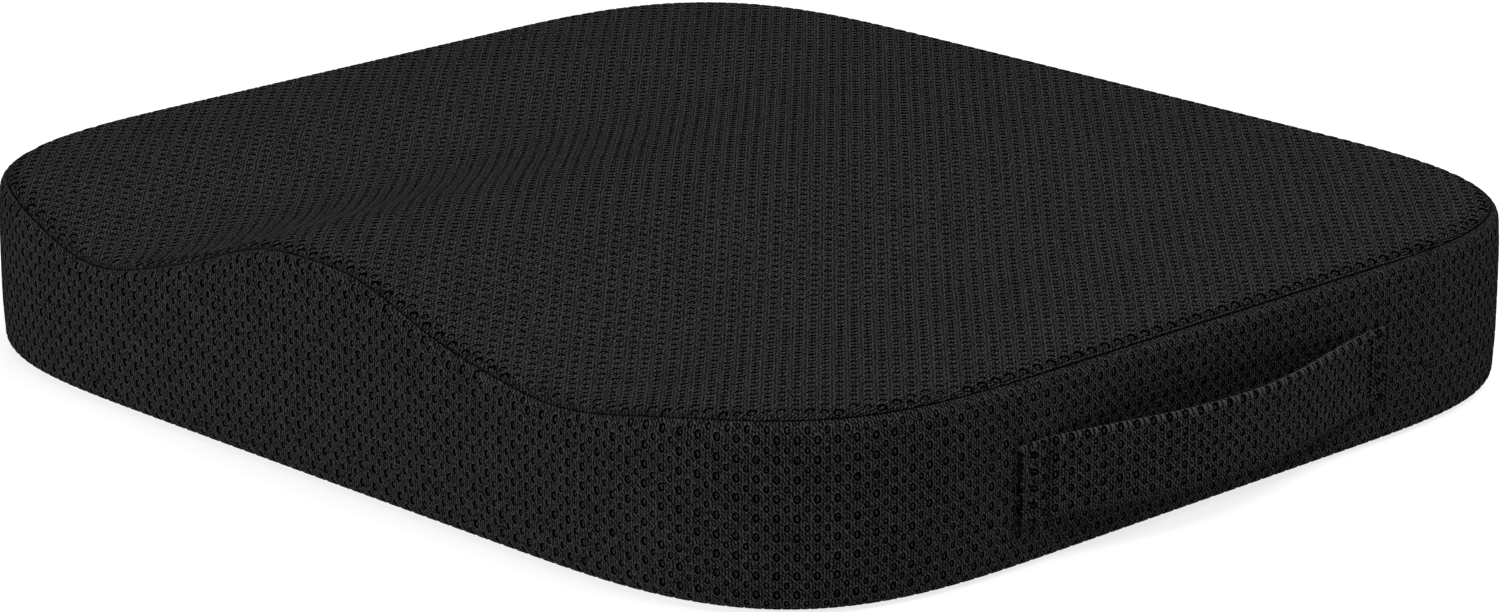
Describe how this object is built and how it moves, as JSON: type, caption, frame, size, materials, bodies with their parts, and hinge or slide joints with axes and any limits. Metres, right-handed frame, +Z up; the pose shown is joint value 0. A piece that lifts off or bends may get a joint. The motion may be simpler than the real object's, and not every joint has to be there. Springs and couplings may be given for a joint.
{
  "type": "contoured seat cushion",
  "caption": "Contoured foam seat cushion in a zipped spacer-mesh cover: front ridge between two thigh grooves, rounded corners, carry strap on one side.",
  "frame": {"origin": "middle of the flat base, on the surface the cushion rests on", "axes": "+Z up, +X along the width towards the carry strap, -Y towards the front where the ridge and grooves are, +Y towards the zip"},
  "size_m": [0.4675, 0.4043, 0.0798],
  "materials": {
    "spacer_mesh": "knitted spacer mesh, matt, near black",
    "base_fabric": "woven base cloth with moulded grip dots, near black",
    "foam": "moulded polyurethane foam, open cell, off white",
    "thread": "polyester sewing thread, black",
    "zip_tape": "woven zip tape, black",
    "zip_coil": "nylon coil, black, half gloss",
    "zip_metal": "black enamelled zinc"
  },
  "bodies": {
    "cover": {"foam_core": "foam", "top_panel": "spacer_mesh", "side_band": "spacer_mesh", "rear_band_upper": "spacer_mesh", "rear_band_lower": "spacer_mesh", "bottom_panel": "base_fabric", "top_seam_thread": "thread", "bottom_seam_thread": "thread", "handle_strap": "spacer_mesh", "handle_front_bartack": "thread", "handle_front_stitch": "thread", "handle_rear_stitch": "thread", "handle_rear_bartack": "thread", "zip_tape_upper": "zip_tape", "zip_tape_lower": "zip_tape", "zip_coil_upper": "zip_coil", "zip_coil_lower": "zip_coil", "zip_stop_left": "zip_metal", "zip_stop_right": "zip_metal", "zip_end_tab_left": "zip_tape", "zip_end_tab_right": "zip_tape"},
    "slider": {"zip_slider": "zip_metal"},
    "pull_tab": {"zip_pull_tab": "zip_metal"}
  },
  "joints": [
    {"name": "zip_slide", "type": "slide", "parent": "cover", "child": "slider", "axis": [1, 0, 0], "range_m": [0, 0.262]},
    {"name": "pull_tab_hinge", "type": "hinge", "parent": "slider", "child": "pull_tab", "pos_m": [-0.131, 0.2003, 0.03], "axis": [0, 0, 1], "range_deg": [0, 180]}
  ]
}
